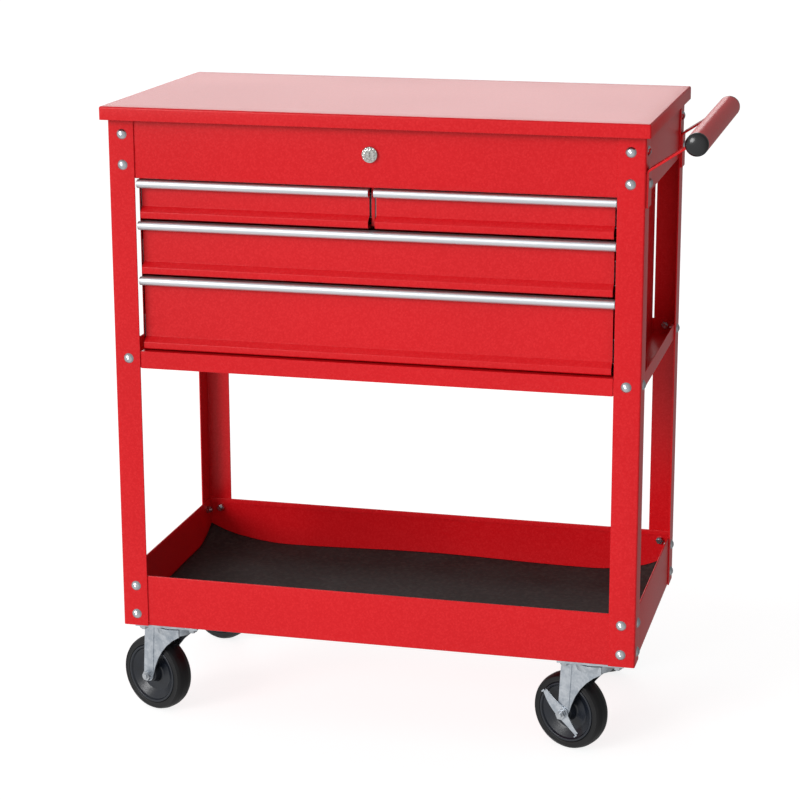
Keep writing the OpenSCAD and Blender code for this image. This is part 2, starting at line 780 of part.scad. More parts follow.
// The axle bolt and its nut. A braked caster has room for the lever under the nut.
module caster_axle(s) {
    near = fork_face + (braked(s) ? lever_t + 2 * move_gap : 0);
    color(steel) at_caster(s) translate([trail, 0, wheel_r]) rotate([-90, 0, 0]) {
        translate([0, 0, -fork_face - axle_nut_h]) cylinder(r = axle_nut_r, h = axle_nut_h, $fn = 6);
        translate([0, 0, -fork_face - e]) cylinder(r = axle_r, h = fork_face + near + axle_nut_h + 3);
        translate([0, 0, near]) cylinder(r = axle_nut_r, h = axle_nut_h, $fn = 6);
    }
}

// A tyre's section: flat sides and a crowned tread.
module tyre_section() {
    intersection() {
        translate([hub_r, -wheel_w / 2]) square([wheel_r - hub_r, wheel_w]);
        translate([wheel_r - tread_crown, 0]) circle(r = tread_crown, $fn = 96);
    }
}

module caster_tyre(s)
    color(black) at_caster(s) translate([trail, 0, wheel_r]) rotate([-90, 0, 0])
        rotate_extrude($fn = 96) tyre_section();

// A section and its mirror image, as one closed outline.
function mirrored_outline(p) = concat(p, [for (i = [len(p) - 1 : -1 : 0]) [p[i][0], -p[i][1]]]);

// The hub: a rim, a dished web and a boss on the axle.
module caster_hub(s) {
    rim_h = wheel_w / 2 - 2;
    web_h = 4;
    boss_r = 11;
    color(grey) at_caster(s) translate([trail, 0, wheel_r]) rotate([-90, 0, 0]) rotate_extrude($fn = 96) {
        half_section = [[axle_r + run_fit, boss_half], [boss_r, boss_half], [boss_r + 3, web_h],
            [hub_r - 9, web_h], [hub_r - 4, rim_h], [hub_r, rim_h]];
        polygon(mirrored_outline(half_section));
    }
}

// A two-winged brake lever that turns on the axle outside the fork, with a pad at each end.
module brake_lever(s) {
    hub = 10;
    root = hub - 1;
    end = 3;
    color(zinc) at_caster(s) translate([trail, fork_face + move_gap, wheel_r]) rotate([0, -lever_tilt, 0])
        rotate([-90, 0, 0]) difference() {
            union() {
                linear_extrude(lever_t) {
                    circle(r = hub);
                    polygon(concat(bow([0, -root], [lever_up / 2, -hub / 2], [lever_up, -end]),
                        bow([lever_up, end], [lever_up * 0.6, hub * 1.2], [0, root])));
                    polygon(concat(bow([0, root], [-lever_down / 2, hub / 2], [-lever_down, end]),
                        bow([-lever_down, -end], [-lever_down * 0.6, -hub * 0.1], [0, -root])));
                }
                translate([lever_up - lever_t, -end, 0]) cube([lever_t, 2 * end, lever_pad]);
                translate([-lever_down, -end, 0]) cube([lever_t, 2 * end, lever_pad]);
            }
            translate([0, 0, -1]) cylinder(r = axle_r + run_fit, h = lever_t + 2);
        }
}

leg(-1, -1);  // leg_front_left
leg(1, -1);  // leg_front_right
leg(-1, 1);  // leg_rear_left
leg(1, 1);  // leg_rear_right
upper_compartment();
cabinet_shell();
centre_divider();
middle_tray();
bottom_tray();
tray_mat();
frame_bolts();
frame_nuts();
caster_bolts();
handle_tube();
handle_end_caps();
handle_brackets();
lock_housing();
hinge_leaf_fixed();
hinge_pin();
slide_channels();
caster_plates();
lid_panel();
hinge_leaf_lid();
lid_catch();
lock_plug();
lock_cam();
drawer_box("small_left");  // drawer_small_left_box
drawer_pull("small_left");  // drawer_small_left_pull
drawer_slide_inner("small_left");  // drawer_small_left_slide_inner
drawer_slide_middle("small_left");  // drawer_small_left_slide_middle
drawer_box("small_right");  // drawer_small_right_box
drawer_pull("small_right");  // drawer_small_right_pull
drawer_slide_inner("small_right");  // drawer_small_right_slide_inner
drawer_slide_middle("small_right");  // drawer_small_right_slide_middle
drawer_box("middle");  // drawer_middle_box
drawer_pull("middle");  // drawer_middle_pull
drawer_slide_inner("middle");  // drawer_middle_slide_inner
drawer_slide_middle("middle");  // drawer_middle_slide_middle
drawer_box("bottom");  // drawer_bottom_box
drawer_pull("bottom");  // drawer_bottom_pull
drawer_slide_inner("bottom");  // drawer_bottom_slide_inner
drawer_slide_middle("bottom");  // drawer_bottom_slide_middle
caster_fork("front_left");  // caster_front_left_fork
caster_axle("front_left");  // caster_front_left_axle
caster_hub("front_left");  // caster_front_left_hub
caster_tyre("front_left");  // caster_front_left_tyre
caster_fork("front_right");  // caster_front_right_fork
caster_axle("front_right");  // caster_front_right_axle
caster_hub("front_right");  // caster_front_right_hub
caster_tyre("front_right");  // caster_front_right_tyre
caster_fork("rear_left");  // caster_rear_left_fork
caster_axle("rear_left");  // caster_rear_left_axle
caster_hub("rear_left");  // caster_rear_left_hub
caster_tyre("rear_left");  // caster_rear_left_tyre
caster_fork("rear_right");  // caster_rear_right_fork
caster_axle("rear_right");  // caster_rear_right_axle
caster_hub("rear_right");  // caster_rear_right_hub
caster_tyre("rear_right");  // caster_rear_right_tyre
brake_lever("front_right");  // brake_lever_front_right
brake_lever("rear_right");  // brake_lever_rear_right
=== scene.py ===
"""Looks for a rolling tool chest: red folded steel, aluminium pulls, zinc-plated casters, a rubber liner."""
import json
import logging
import math
from collections.abc import Sequence
from dataclasses import dataclass, field
from enum import Enum

import bmesh
import bpy
import numpy as np
from mathutils import Matrix, Vector


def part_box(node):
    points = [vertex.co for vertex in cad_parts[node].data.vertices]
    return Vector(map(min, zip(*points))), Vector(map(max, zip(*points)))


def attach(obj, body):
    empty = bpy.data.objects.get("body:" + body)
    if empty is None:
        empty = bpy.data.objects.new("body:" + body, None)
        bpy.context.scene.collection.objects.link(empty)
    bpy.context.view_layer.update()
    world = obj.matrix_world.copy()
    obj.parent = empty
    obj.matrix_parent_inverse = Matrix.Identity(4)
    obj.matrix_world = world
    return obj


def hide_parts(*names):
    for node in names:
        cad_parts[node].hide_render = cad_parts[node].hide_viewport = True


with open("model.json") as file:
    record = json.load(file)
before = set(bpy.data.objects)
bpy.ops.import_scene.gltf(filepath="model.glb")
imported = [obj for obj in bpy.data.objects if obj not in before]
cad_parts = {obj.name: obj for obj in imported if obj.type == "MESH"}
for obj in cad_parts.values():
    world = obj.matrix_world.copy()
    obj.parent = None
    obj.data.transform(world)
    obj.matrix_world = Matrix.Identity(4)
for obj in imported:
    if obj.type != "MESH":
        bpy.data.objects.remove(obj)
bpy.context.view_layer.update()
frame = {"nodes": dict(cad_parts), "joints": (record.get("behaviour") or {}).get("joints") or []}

MM = 0.001
SHARP_ANGLE = math.radians(35)
BEVEL_ANGLE = math.radians(40)
LOG = logging.getLogger("tool_chest")
Array = np.ndarray


# ---------------------------------------------------------------- finishes


def linear(hex_code: str) -> tuple[float, float, float, float]:
    """Turns an sRGB hex colour to linear RGBA.

    Args:
        hex_code: six hex digits after a hash sign.

    Returns:
        Linear red, green, blue and an alpha of one.
    """
    srgb = np.array([int(hex_code[i:i + 2], 16) for i in (1, 3, 5)]) / 255.0
    rgb = np.where(srgb <= 0.04045, srgb / 12.92, ((srgb + 0.055) / 1.055) ** 2.4)
    return (*(float(c) for c in rgb), 1.0)


def per_size(size_mm: float) -> float:
    """Scale of a noise or cell pattern whose features are size_mm across."""
    return 1.0 / (size_mm * MM)


def add(tree: bpy.types.NodeTree, kind: str, inputs: dict | None = None, **settings: object) -> bpy.types.Node:
    """Adds one node, sets its properties and fills or links its inputs.

    Args:
        tree: the node tree that gets the node.
        kind: the node's type.
        inputs: socket name or number to a value, or to the output socket that feeds it.
        settings: properties of the node itself.

    Returns:
        The new node.
    """
    node = tree.nodes.new(kind)
    for name, value in settings.items():
        setattr(node, name, value)
    for name, value in (inputs or {}).items():
        if isinstance(value, bpy.types.NodeSocket):
            tree.links.new(value, node.inputs[name])
        else:
            node.inputs[name].default_value = value
    return node


class Grain(Enum):
    """How a finish's pattern is stretched: the factors on X, Y and Z."""

    EVEN = (1.0, 1.0, 1.0)
    ALONG_X = (0.02, 1.0, 1.0)


@dataclass(frozen=True)
class Finish:
    """One real surface: its colours, gloss, and the relief that its making leaves.

    tone is the main colour, and shade the one that large noise patches drift to, at random.
    texture_mm is the relief's size, patch_mm the size of the colour drift, and speck_mm that of
    the cells that lean towards the speck colour, with zero for none.
    """

    name: str
    tone: str
    shade: str
    metallic: float
    roughness: float
    rough_drift: float
    texture_mm: float
    relief: float
    patch_mm: float
    grain: Grain = Grain.EVEN
    ior: float = 1.5
    specular: float = 0.5
    speck_mm: float = 0.0
    speck: str = "#ffffff"

    def material(self) -> bpy.types.Material:
        """Builds the finish as a node material on Object coordinates.

        Returns:
            The material: noise drifts the colour and the gloss, and a second, finer noise is the relief.
        """
        mat = bpy.data.materials.new(self.name)
        mat.use_nodes = True
        tree = mat.node_tree
        tree.nodes.clear()
        place = add(tree, "ShaderNodeTexCoord").outputs["Object"]
        grain = add(tree, "ShaderNodeMapping", {"Vector": place, "Scale": self.grain.value}).outputs[0]
        patch = add(tree, "ShaderNodeTexNoise",
                    {"Vector": grain, "Scale": per_size(self.patch_mm), "Detail": 0.0})
        drift = add(tree, "ShaderNodeMapRange", {"Value": patch.outputs[0]}, interpolation_type="SMOOTHSTEP")
        colour = add(tree, "ShaderNodeMix",
                     {0: drift.outputs[0], 6: linear(self.tone), 7: linear(self.shade)},
                     data_type="RGBA").outputs[2]
        fine = add(tree, "ShaderNodeTexNoise",
                   {"Vector": grain, "Scale": per_size(self.texture_mm), "Detail": 3.0, "Roughness": 0.5})
        if self.speck_mm:
            cells = add(tree, "ShaderNodeTexVoronoi", {"Vector": place, "Scale": per_size(self.speck_mm)})
            spots = add(tree, "ShaderNodeMapRange",
                        {"Value": cells.outputs["Color"], "From Min": 0.35, "From Max": 1.0, "To Max": 0.22})
            colour = add(tree, "ShaderNodeMix", {0: spots.outputs[0], 6: colour, 7: linear(self.speck)},
                         data_type="RGBA").outputs[2]
        gloss = add(tree, "ShaderNodeMapRange",
                    {"Value": patch.outputs[0], "To Min": self.roughness - self.rough_drift,
                     "To Max": self.roughness + self.rough_drift}, interpolation_type="SMOOTHSTEP")
        bump = add(tree, "ShaderNodeBump",
                   {"Height": fine.outputs[0], "Strength": self.relief, "Distance": 0.1 * self.texture_mm * MM})
        shader = add(tree, "ShaderNodeBsdfPrincipled",
                     {"Base Color": colour, "Metallic": self.metallic, "Roughness": gloss.outputs[0],
                      "IOR": self.ior, "Specular IOR Level": self.specular, "Normal": bump.outputs[0]})
        add(tree, "ShaderNodeOutputMaterial", {"Surface": shader.outputs[0]})
        return mat


# Polyester powder coat, sprayed and baked: deep gloss red, with the faint swell of orange peel.
POWDER_COAT = Finish("powder_coat_red", "#cf0d17", "#c60c15", 0.0, 0.30, 0.01, 2.4, 0.6, 220.0, specular=0.24,
                     speck_mm=2.2, speck="#ee3c40")
# Bright zinc plate on pressed steel: bluish grey, cloudy, with small crystals.
ZINC = Finish("zinc_plate_pressed", "#c9ced4", "#98a0a9", 1.0, 0.36, 0.09, 1.6, 0.35, 12.0,
              speck_mm=3.0, speck="#f4f7fa")
# Turned and zinc-plated fastener steel: a little smoother and warmer than the pressings.
BOLT_STEEL = Finish("zinc_plate_bolts", "#c9cccf", "#a8adb3", 1.0, 0.27, 0.06, 0.9, 0.12, 6.0)
# Extruded aluminium, satin anodised: fine die lines along its length.
ALUMINIUM = Finish("anodised_aluminium_satin", "#dcdee1", "#cdd0d4", 1.0, 0.48, 0.05, 0.8, 0.25, 5.0,
                   grain=Grain.ALONG_X)
# Sheet rubber, calendered: matt brown-black with scuffs and a fine leathery grain.
LINER_RUBBER = Finish("rubber_sheet_calendered", "#1e1b1a", "#2e2a29", 0.0, 0.78, 0.08, 2.2, 1.0, 60.0,
                      ior=1.52, specular=0.3, speck_mm=5.0, speck="#5a5450")
# Tyre rubber, moulded and shot: black and half matt.
TYRE_RUBBER = Finish("rubber_tyre_moulded", "#08080a", "#0f0f11", 0.0, 0.40, 0.08, 1.6, 0.4, 14.0,
                     ior=1.52, specular=0.3)
# Polypropylene hub, moulded: dark blue-grey with a soft sheen.
HUB_PLASTIC = Finish("polypropylene_hub_moulded", "#161b25", "#10141b", 0.0, 0.33, 0.04, 4.0, 0.35, 16.0, ior=1.49)
# PVC end cap, dipped: glossy black.
CAP_PLASTIC = Finish("pvc_cap_moulded", "#0e0e10", "#17171a", 0.0, 0.24, 0.05, 1.4, 0.12, 10.0, ior=1.53)
# Chromed die casting: bright, with the soft dimples of the casting under the plate.
CHROME = Finish("chrome_die_cast", "#dcdcd8", "#a5a49e", 1.0, 0.16, 0.05, 2.2, 1.0, 3.0)


# ---------------------------------------------------------------- surfaces


def rounded_path(points: Sequence[tuple[float, float]], radii: Sequence[float], steps: int = 6) -> Array:
    """A line of straight runs whose corners are arcs.

    At a corner where the line turns by angle a, the arc of radius r starts r*tan(|a|/2) before the
    corner, and its points are centre + (start - centre)*exp(i*a*t), with t from 0 to 1.

    Args:
        points: the corners, in metres.
        radii: one radius for each inner corner.
        steps: points on each arc.

    Returns:
        The line's points as complex numbers.
    """
    p = np.array([complex(*q) for q in points])
    run = np.diff(p)
    run = run / np.abs(run)
    turn = np.angle(run[1:] / run[:-1])
    r = np.array(radii, float)
    start = p[1:-1] - run[:-1] * r * np.tan(np.abs(turn) / 2)
    centre = start + run[:-1] * 1j * np.sign(turn) * r
    t = np.linspace(0.0, 1.0, steps)
    arcs = centre[:, None] + (start - centre)[:, None] * np.exp(1j * turn[:, None] * t)
    return np.concatenate([p[:1], arcs.ravel(), p[-1:]])


def sheet_section(path: Array, thickness: float) -> Array:
    """The closed outline of a sheet of even thickness: the path moved half a thickness to each side.

    The move is along the mean normal of the two runs at a point, lengthened by 1/cos(half the turn).

    Args:
        path: the middle line as complex numbers.
        thickness: the sheet's thickness in metres.

    Returns:
        The outline: one side forwards, then the other backwards.
    """
    run = np.diff(path)
    run = run / np.abs(run)
    before = np.concatenate([run[:1], run])
    after = np.concatenate([run, run[-1:]])
    mean = before + after
    mean = mean / np.abs(mean)
    reach = thickness / 2 / np.real(mean * np.conj(after))
    side = mean * 1j * reach
    return np.concatenate([path + side, (path - side)[::-1]])


class Plane(Enum):
    """Where a section's two axes and its run lie: (section's real, section's imaginary, run)."""

    YZ_ALONG_X = (1, 2, 0)
    XZ_ALONG_Y = (0, 2, 1)
    XY_ALONG_Z = (0, 1, 2)


def run_of(section: Array, plane: Plane, start: float, end: float) -> Array:
    """Copies a section to both ends of a straight run.

    Args:
        section: the outline as complex numbers.
        plane: where the section lies.
        start: where the run starts, in metres.
        end: where it ends.

    Returns:
        Points of shape (2, section, 3).
    """
    grid = np.zeros((2, len(section), 3))
    real, imaginary, along = plane.value
    grid[:, :, real] = section.real
    grid[:, :, imaginary] = section.imag
    grid[:, :, along] = np.array([[start], [end]])
    return grid


def rings_round(profile: Array, half: tuple[float, float], corner: float, steps: int = 6) -> Array:
    """Rings of a pan: each is a rectangle with round corners, smaller by the profile's inset.

    A ring at inset d has corners of radius c = max(corner - d, 0.2 mm), centred at half - d - c, and
    its points are centre + c*(cos a, sin a), with a from 0 to 360 degrees in four quarters.

    Args:
        profile: inset (real) and height (imaginary) of each ring.
        half: half the pan's width and depth.
        corner: the pan's outer corner radius.
        steps: points on each corner.

    Returns:
        Points of shape (profile, 4*steps, 3).
    """
    inset = profile.real[:, None]
    radius = np.maximum(corner - inset, 0.2 * MM)
    quarter = np.repeat(np.arange(4), steps)[None, :]
    angle = (quarter + np.tile(np.linspace(0, 1, steps), 4)[None, :]) * math.pi / 2
    sign_x = np.where((quarter == 0) | (quarter == 3), 1.0, -1.0)
    sign_y = np.where(quarter < 2, 1.0, -1.0)
    x = sign_x * (half[0] - inset - radius) + radius * np.cos(angle)
    y = sign_y * (half[1] - inset - radius) + radius * np.sin(angle)
    return np.stack([x, y, np.broadcast_to(profile.imag[:, None], x.shape)], axis=2)


def turned(profile: Array, centre: Sequence[float], axis: Sequence[float], steps: int = 96) -> Array:
    """A solid of revolution: the profile carried round an axis.

    A point at radius r and height h goes to centre + h*axis + r*(cos a*e1 + sin a*e2).

    Args:
        profile: radius (real) and height along the axis (imaginary).
        centre: the point on the axis at height zero.
        axis: the axis's unit direction.
        steps: points round the axis.

    Returns:
        Points of shape (steps, profile, 3).
    """
    w = np.array(axis, float)
    w = w / np.linalg.norm(w)
    e1 = np.cross(w, [0.0, 0.0, 1.0] if abs(w[2]) < 0.9 else [1.0, 0.0, 0.0])
    e1 = e1 / np.linalg.norm(e1)
    e2 = np.cross(w, e1)
    a = np.linspace(0, 2 * math.pi, steps, endpoint=False)[:, None, None]
    r = profile.real[None, :, None]
    h = profile.imag[None, :, None]
    return np.array(centre, float) + h * w + r * (np.cos(a) * e1 + np.sin(a) * e2)


class Ends(Enum):
    """How the first and last rings of a grid of rings are closed."""

    JOINED = 1
    FACE = 2
    STRIP = 3


def ring_faces(rows: int, count: int, ends: Ends) -> list[tuple[int, ...]]:
    """Faces of a grid of closed rings.

    The face at row i and column j joins (i, j), (i, j+1), (i+1, j+1) and (i+1, j), the columns wrapping.

    Args:
        rows: number of rings.
        count: points in each ring.
        ends: how the first and last rings are closed.

    Returns:
        Vertex numbers of each face.
    """
    last = rows if ends is Ends.JOINED else rows - 1
    i, j = (a.ravel() for a in np.meshgrid(np.arange(last), np.arange(count), indexing="ij"))
    nxt, row = (j + 1) % count, (i + 1) % rows
    quads = np.stack([i * count + j, i * count + nxt, row * count + nxt, row * count + j], axis=1)
    faces = [tuple(q) for q in quads.tolist()]
    base = (rows - 1) * count
    if ends is Ends.FACE:
        faces += [tuple(range(count))[::-1], tuple(range(base, base + count))]
    if ends is Ends.STRIP:
        k = np.arange(count // 2 - 1)
        near = np.stack([k, count - 1 - k, count - 2 - k, k + 1], axis=1)
        faces += [tuple(q) for q in near.tolist()] + [tuple(q[::-1]) for q in (near + base).tolist()]
    return faces


def piece(name: str, parts: Sequence[tuple[Array, Ends]], finish: bpy.types.Material, body: str,
          soften: float = 0.0, stands_for: Sequence[str] = ()) -> bpy.types.Object:
    """Makes one object from grids of rings, at the origin with its place in its mesh.

    Args:
        name: the piece's name.
        parts: points of shape (rows, count, 3), and how each grid is closed.
        finish: its material.
        body: the body that it rides on.
        soften: width of a bevel on its sharp edges, in metres.
        stands_for: CAD nodes that it replaces.

    Returns:
        The object.
    """
    mesh = bpy.data.meshes.new(name)
    vertices: list[Array] = []
    faces: list[tuple[int, ...]] = []
    base = 0
    for grid, ends in parts:
        flat = grid.reshape(-1, 3)
        faces += [tuple(v + base for v in f) for f in ring_faces(grid.shape[0], grid.shape[1], ends)]
        vertices.append(flat)
        base += len(flat)
    mesh.from_pydata(np.concatenate(vertices).tolist(), [], faces)
    tidy = bmesh.new()
    tidy.from_mesh(mesh)
    bmesh.ops.remove_doubles(tidy, verts=tidy.verts, dist=1e-6)
    bmesh.ops.recalc_face_normals(tidy, faces=tidy.faces)
    tidy.to_mesh(mesh)
    tidy.free()
    return finished(name, mesh, finish, body, soften, stands_for)


def soft_edges(obj: bpy.types.Object, width: float) -> None:
    """Breaks an object's sharp edges with a narrow bevel, or leaves them if the width is zero.

    Args:
        obj: the object.
        width: the bevel's width, in metres.
    """
    if width:
        bevel = obj.modifiers.new("soft_edges", "BEVEL")
        bevel.width = width
        bevel.segments = 2
        bevel.limit_method = "ANGLE"
        bevel.angle_limit = BEVEL_ANGLE
        bevel.harden_normals = True


def finished(name: str, mesh: bpy.types.Mesh, finish: bpy.types.Material, body: str, soften: float = 0.0,
             stands_for: Sequence[str] = ()) -> bpy.types.Object:
    """Turns a mesh into a shaded piece that rides on a body. The arguments are those of piece()."""
    mesh.shade_smooth()
    mesh.set_sharp_from_angle(angle=SHARP_ANGLE)
    obj = bpy.data.objects.new(name, mesh)
    bpy.context.scene.collection.objects.link(obj)
    mesh.materials.append(finish)
    soft_edges(obj, soften)
    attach(obj, body)
    if stands_for:
        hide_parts(*stands_for)
    LOG.info("%s on %s", name, body)
    return obj


def crisp_shading() -> bpy.types.NodeTree:
    """A node group that shades faces smooth and keeps edges of more than 35 degrees sharp.

    Returns:
        The geometry node group.
    """
    group = bpy.data.node_groups.new("crisp_shading", "GeometryNodeTree")
    group.interface.new_socket("Geometry", in_out="INPUT", socket_type="NodeSocketGeometry")
    group.interface.new_socket("Geometry", in_out="OUTPUT", socket_type="NodeSocketGeometry")
    source = add(group, "NodeGroupInput")
    angle = add(group, "GeometryNodeInputMeshEdgeAngle")
    sharp = add(group, "FunctionNodeCompare", {0: angle.outputs[0], 1: SHARP_ANGLE},
                data_type="FLOAT", operation="GREATER_THAN")
    smooth = add(group, "GeometryNodeSetShadeSmooth", {"Geometry": source.outputs[0], "Shade Smooth": True},
                 domain="FACE")
    edges = add(group, "GeometryNodeSetShadeSmooth",
                {"Geometry": smooth.outputs[0], "Selection": sharp.outputs[0], "Shade Smooth": False},
                domain="EDGE")
    add(group, "NodeGroupOutput", {0: edges.outputs[0]})
    return group


@dataclass
class Workshop:
    """What every sub-assembly shares: the finishes as materials and the shading group."""

    red: bpy.types.Material = field(default_factory=POWDER_COAT.material)
    zinc: bpy.types.Material = field(default_factory=ZINC.material)
    steel: bpy.types.Material = field(default_factory=BOLT_STEEL.material)
    aluminium: bpy.types.Material = field(default_factory=ALUMINIUM.material)
    liner: bpy.types.Material = field(default_factory=LINER_RUBBER.material)
    tyre: bpy.types.Material = field(default_factory=TYRE_RUBBER.material)
    hub: bpy.types.Material = field(default_factory=HUB_PLASTIC.material)
    cap: bpy.types.Material = field(default_factory=CAP_PLASTIC.material)
    chrome: bpy.types.Material = field(default_factory=CHROME.material)
    shading: bpy.types.NodeTree = field(default_factory=crisp_shading)

    def dress(self, node: str, finish: bpy.types.Material, soften: float) -> None:
        """Gives a CAD node its finish and broken edges, and leaves its mesh as it is.

        Args:
            node: the CAD node's name.
            finish: its material.
            soften: the width of its broken edges, in metres.
        """
        obj = frame["nodes"][node]
        for holder in obj.material_slots:
            holder.material = finish
        weld = obj.modifiers.new("joined", "WELD")
        weld.merge_threshold = 2e-6
        shade = obj.modifiers.new("shading", "NODES")
        shade.node_group = self.shading
        soft_edges(obj, soften)
        LOG.info("%s keeps its CAD shape", node)


@dataclass
class SubAssembly:
    """A group of pieces that is built together."""

    shop: Workshop

    def build(self) -> None:
        """Builds and dresses every piece of the group."""
        raise NotImplementedError


def middle_of(node: str) -> tuple[Vector, Vector, Vector]:
    """A CAD node's lowest corner, highest corner and middle."""
    low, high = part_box(node)
    return low, high, (low + high) / 2


# ---------------------------------------------------------------- frame, pans and liner


@dataclass
class Pan(SubAssembly):
    """A folded sheet-steel pan, open at the top or turned over, with round bends and corners."""

    node: str
    body: str = "chest"
    thickness: float = 1.2 * MM
    bend: float = 2.0 * MM
    corner: float = 2.4 * MM
    rim: float = 0.0
    hem: float = 0.0
    floor_ring: float = 30 * MM
    turned_over: bool = False

    def profile(self, low: float, high: float, reach: float) -> Array:
        """The middle line of the wall, from its free edge to the middle of the floor.

        Args:
            low: the underside of the pan.
            high: its top.
            reach: inset at which the floor's ring ends.

        Returns:
            Inset (real) and height (imaginary).
        """
        t = self.thickness / 2
        if self.turned_over:
            return rounded_path([(t, low), (t, high - t), (reach, high - t)], [self.bend])
        wall = [(t, low + t), (reach, low + t)]
        if self.rim:
            return rounded_path([(self.rim, high - t), (t, high - t), *wall], [self.bend, self.bend])
        if self.hem:
            back = 3.1 * t
            fold = 1.0 * t
            top = high - t
            return rounded_path([(back, high - self.hem), (back, top), (t, top), *wall], [fold, fold, self.bend])
        return rounded_path([(t, high), *wall], [self.bend])

    def build(self) -> None:
        """Builds the pan from its CAD node's box and replaces the node."""
        low, high, middle = middle_of(self.node)
        half = ((high.x - low.x) / 2, (high.y - low.y) / 2)
        line = self.profile(low.z, high.z, self.floor_ring)
        section = sheet_section(line, self.thickness)
        rings = rings_round(section, half, self.corner)
        rings = rings + np.array([middle.x, middle.y, 0.0])
        count = len(line)
        order = np.roll(np.arange(2 * count), count)
        piece(f"{self.node}_folded", [(rings[order], Ends.FACE)], self.shop.red, self.body, 0.3 * MM,
              [self.node])


@dataclass
class Liner(SubAssembly):
    """The loose rubber sheet in the bottom tray. It is a little too big, so its edges climb the walls."""

    climb_left: float = 4 * MM
    climb_right: float = 8 * MM
    climb_back: float = 5 * MM
    climb_front: float = 4 * MM
    climb_corner: float = 20 * MM
    curl: float = 45 * MM
    thickness: float = 2.6 * MM
    clear: float = 1.4 * MM
    corner_reach: tuple[float, float, float] = (130 * MM, 120 * MM, 70 * MM)
    wave: float = 0.5 * MM
    cells: tuple[int, int] = (150, 90)

    def surface(self) -> tuple[Array, float]:
        """The sheet's top as a height over the tray's floor.

        With p the distance inside an edge over the curl's length, a climb is h*(1-p)^2 where p < 1.
        The rear corners add climb_corner*(1-px)^1.8*(1-py)^1.7, and slow waves of 1 mm lie in the flat.

        Returns:
            Points of shape (rows, columns, 3), and the sheet's area in square metres.
        """
        low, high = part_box("bottom_tray")
        wall = 1.2 * MM + self.clear
        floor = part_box("tray_mat")[1].z
        u = np.linspace(0, 1, self.cells[0])[None, :]
        v = np.linspace(0, 1, self.cells[1])[:, None]
        x = low.x + wall + u * (high.x - low.x - 2 * wall) + 0 * v
        y = low.y + wall + v * (high.y - low.y - 2 * wall) + 0 * u
        near = {
            "left": np.clip(1 - (x - x.min()) / self.curl, 0, 1),
            "right": np.clip(1 - (x.max() - x) / self.curl, 0, 1),
            "front": np.clip(1 - (y - y.min()) / self.curl, 0, 1),
            "back": np.clip(1 - (y.max() - y) / self.curl, 0, 1),
        }
        z = self.climb_left * (1 + 0.4 * np.sin(14 * y)) * near["left"] ** 2
        z = z + self.climb_right * near["right"] ** 2
        z = z + self.climb_back * (0.7 + 0.45 * np.sin(13 * x + 2.0)) * near["back"] ** 1.8
        z = z + self.climb_front * near["front"] ** 2
        left, right, back = self.corner_reach
        wide = (np.clip(1 - (x - x.min()) / left, 0, 1) ** 1.8
                + np.clip(1 - (x.max() - x) / right, 0, 1) ** 1.8)
        deep = np.clip(1 - (y.max() - y) / back, 0, 1) ** 1.7
        z = z + self.climb_corner * wide * deep
        flat = 1 - np.clip(near["left"] + near["right"] + near["front"] + near["back"], 0, 1)
        z = z + flat * self.wave * (1 + np.sin(13 * x + 4 * y) * np.sin(17 * y - 3 * x))
        points = np.stack([x, y, floor + z], axis=2)
        across = np.diff(points, axis=1)[:-1]
        along = np.diff(points, axis=0)[:, :-1]
        return points, float(np.linalg.norm(np.cross(across, along), axis=2).sum())

    def build(self) -> None:
        """Lays the sheet in the tray."""
        points, area = self.surface()
        rows, columns = points.shape[:2]
        mesh = bpy.data.meshes.new("rubber_liner")
        i, j = (a.ravel() for a in np.meshgrid(np.arange(rows - 1), np.arange(columns - 1), indexing="ij"))
        quads = np.stack([i * columns + j, i * columns + j + 1, (i + 1) * columns + j + 1,
                          (i + 1) * columns + j], axis=1)
        mesh.from_pydata(points.reshape(-1, 3).tolist(), [], quads.tolist())
        obj = finished("rubber_liner", mesh, self.shop.liner, "chest", 0.0, ["tray_mat"])
        solid = obj.modifiers.new("thickness", "SOLIDIFY")
        solid.thickness = self.thickness
        solid.offset = -1.0


class Corner(Enum):
    """The four corners: the sides on X and on Y."""

    FRONT_LEFT = (-1, -1)
    FRONT_RIGHT = (1, -1)
    REAR_LEFT = (-1, 1)
    REAR_RIGHT = (1, 1)

    @property
    def label(self) -> str:
        """The corner's name in lower case."""
        return self.name.lower()


@dataclass
class Frame(SubAssembly):
    """Four folded leg angles, and the cabinet shell, divider, channels, bolts and nuts of the CAD."""

    edge: float = 0.5 * MM
    leg_sheet: float = 2.0 * MM
    leg_bend: float = 3.0 * MM

    def leg(self, corner: Corner) -> None:
        """Folds one leg: two flanges on a round bend, run along Z.

        Args:
            corner: the corner that it stands at.
        """
        node = f"leg_{corner.label}"
        low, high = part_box(node)
        sx, sy = corner.value
        t = self.leg_sheet / 2
        outer = (low.x if sx < 0 else high.x, low.y if sy < 0 else high.y)
        inner = (high.x if sx < 0 else low.x, high.y if sy < 0 else low.y)
        fold = (outer[0] - sx * t, outer[1] - sy * t)
        line = rounded_path([(inner[0], fold[1]), fold, (fold[0], inner[1])], [self.leg_bend - t])
        run = run_of(sheet_section(line, self.leg_sheet), Plane.XY_ALONG_Z, low.z, high.z)
        piece(f"{node}_folded", [(run, Ends.STRIP)], self.shop.red, "chest", self.edge, [node])

    def build(self) -> None:
        """Folds the legs and dresses the fixed CAD nodes."""
        for corner in Corner:
            self.leg(corner)
        for node in ("cabinet_shell", "centre_divider"):
            self.shop.dress(node, self.shop.red, self.edge)
        for node in ("frame_bolts", "frame_nuts", "caster_bolts"):
            self.shop.dress(node, self.shop.steel, 0.25 * MM)
        self.shop.dress("slide_channels", self.shop.zinc, 0.3 * MM)


